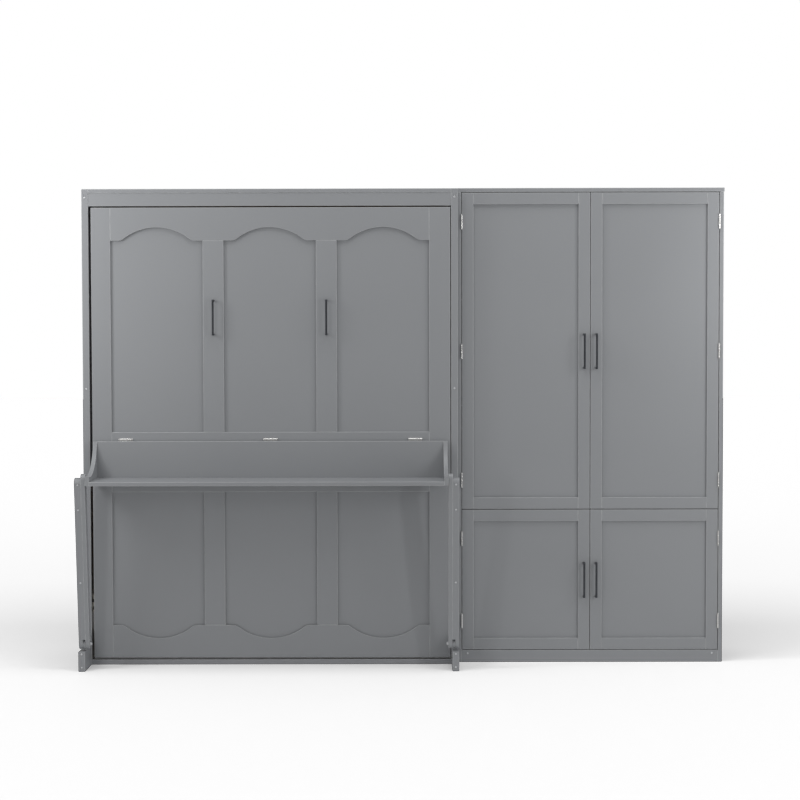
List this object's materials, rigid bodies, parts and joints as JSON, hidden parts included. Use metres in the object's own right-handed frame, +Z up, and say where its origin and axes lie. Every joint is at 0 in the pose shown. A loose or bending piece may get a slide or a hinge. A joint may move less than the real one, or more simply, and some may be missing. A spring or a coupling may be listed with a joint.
{
  "type": "wall bed",
  "caption": "Upright folding wall bed with an arched frame-and-panel front, a hinged shelf that becomes its leg, two parallel arms, and a joined four-door wardrobe.",
  "frame": {"origin": "on the floor, at the middle of the whole unit's width and depth, with the bed folded up", "axes": "+X to the viewer's right along the width, -Y out of the front, +Z up"},
  "size_m": [2.939, 0.69, 2.184],
  "materials": {
    "front_paint": "satin grey paint on timber board",
    "carcass_paint": "satin grey paint on board, inside faces",
    "bare_timber": "planed softwood, clear sealed",
    "hinge_steel": "bright plated steel",
    "bolt_steel": "zinc plated steel",
    "pivot_steel": "zinc plated steel plate",
    "handle_gunmetal": "satin gunmetal"
  },
  "bodies": {
    "cabinet": {"bed_face_stiles": "front_paint", "bed_headboard": "carcass_paint", "bed_header_rail": "front_paint", "bed_side_battens": "carcass_paint", "bed_side_panel_left": "front_paint", "bed_side_panel_right": "front_paint", "bed_toe_rail": "front_paint", "bed_top_board": "front_paint", "bed_wall_rails": "carcass_paint", "cabinet_pivot_plates": "pivot_steel", "face_screws": "bolt_steel", "foot_block_left": "front_paint", "foot_block_right": "front_paint", "wardrobe_back_panel": "carcass_paint", "wardrobe_bottom_board": "carcass_paint", "wardrobe_hinge_leaves": "hinge_steel", "wardrobe_loose_shelves": "carcass_paint", "wardrobe_middle_shelf": "carcass_paint", "wardrobe_partitions": "carcass_paint", "wardrobe_plinth_rail": "front_paint", "wardrobe_shelf_pins": "bolt_steel", "wardrobe_side_panel_left": "front_paint", "wardrobe_side_panel_right": "front_paint", "wardrobe_top_board": "front_paint", "wardrobe_wall_rail": "carcass_paint"},
    "door_upper_left": {"door_upper_left": "front_paint", "door_upper_left_handle": "handle_gunmetal", "door_upper_left_hinge_leaves": "hinge_steel"},
    "door_upper_right": {"door_upper_right": "front_paint", "door_upper_right_handle": "handle_gunmetal", "door_upper_right_hinge_leaves": "hinge_steel"},
    "door_lower_left": {"door_lower_left": "front_paint", "door_lower_left_handle": "handle_gunmetal", "door_lower_left_hinge_leaves": "hinge_steel"},
    "door_lower_right": {"door_lower_right": "front_paint", "door_lower_right_handle": "handle_gunmetal", "door_lower_right_hinge_leaves": "hinge_steel"},
    "arm_left": {"arm_left_bar": "front_paint", "arm_left_strip": "front_paint", "arm_left_bolts": "bolt_steel"},
    "arm_right": {"arm_right_bar": "front_paint", "arm_right_strip": "front_paint", "arm_right_bolts": "bolt_steel"},
    "bed": {"bed_panel_stiles": "front_paint", "bed_panel_top_rail": "front_paint", "bed_panel_middle_rail": "front_paint", "bed_panel_bottom_rail": "front_paint", "bed_panel_mullions": "front_paint", "bed_panel_infills": "front_paint", "bed_frame_rails": "bare_timber", "slat_bearers": "bare_timber", "bed_slats": "bare_timber", "bed_handles": "handle_gunmetal", "bed_pivot_plates": "pivot_steel", "bed_hinge_leaves": "hinge_steel"},
    "shelf": {"shelf_back_board": "front_paint", "shelf_board": "front_paint", "shelf_end_board_left": "front_paint", "shelf_end_board_right": "front_paint", "shelf_hinge_leaves": "hinge_steel"}
  },
  "joints": [
    {"name": "bed_fold", "type": "hinge", "parent": "cabinet", "child": "bed", "pos_m": [-0.612, -0.011, 0.2823], "axis": [1, 0, 0], "range_deg": [0, 90]},
    {"name": "shelf_level", "type": "hinge", "parent": "bed", "child": "shelf", "pos_m": [-0.612, -0.1003, 1.037], "axis": [1, 0, 0], "range_deg": [-90, 0]},
    {"name": "arm_left_swing", "type": "hinge", "parent": "cabinet", "child": "arm_left", "pos_m": [-1.455, -0.2297, 0.1193], "axis": [1, 0, 0], "range_deg": [0, 90]},
    {"name": "arm_right_swing", "type": "hinge", "parent": "cabinet", "child": "arm_right", "pos_m": [0.231, -0.2297, 0.1193], "axis": [1, 0, 0], "range_deg": [0, 90]},
    {"name": "door_upper_left_swing", "type": "hinge", "parent": "cabinet", "child": "door_upper_left", "pos_m": [0.265, -0.0493, 1.4365], "axis": [0, 0, -1], "range_deg": [0, 88]},
    {"name": "door_upper_right_swing", "type": "hinge", "parent": "cabinet", "child": "door_upper_right", "pos_m": [1.447, -0.0493, 1.4365], "axis": [0, 0, 1], "range_deg": [0, 110]},
    {"name": "door_lower_left_swing", "type": "hinge", "parent": "cabinet", "child": "door_lower_left", "pos_m": [0.265, -0.0493, 0.382], "axis": [0, 0, -1], "range_deg": [0, 88]},
    {"name": "door_lower_right_swing", "type": "hinge", "parent": "cabinet", "child": "door_lower_right", "pos_m": [1.447, -0.0493, 0.382], "axis": [0, 0, 1], "range_deg": [0, 110]}
  ],
  "couplings": [
    {"joint": "shelf_level", "follows": "bed_fold", "ratio": -1},
    {"joint": "arm_left_swing", "follows": "bed_fold", "ratio": 1},
    {"joint": "arm_right_swing", "follows": "bed_fold", "ratio": 1}
  ]
}
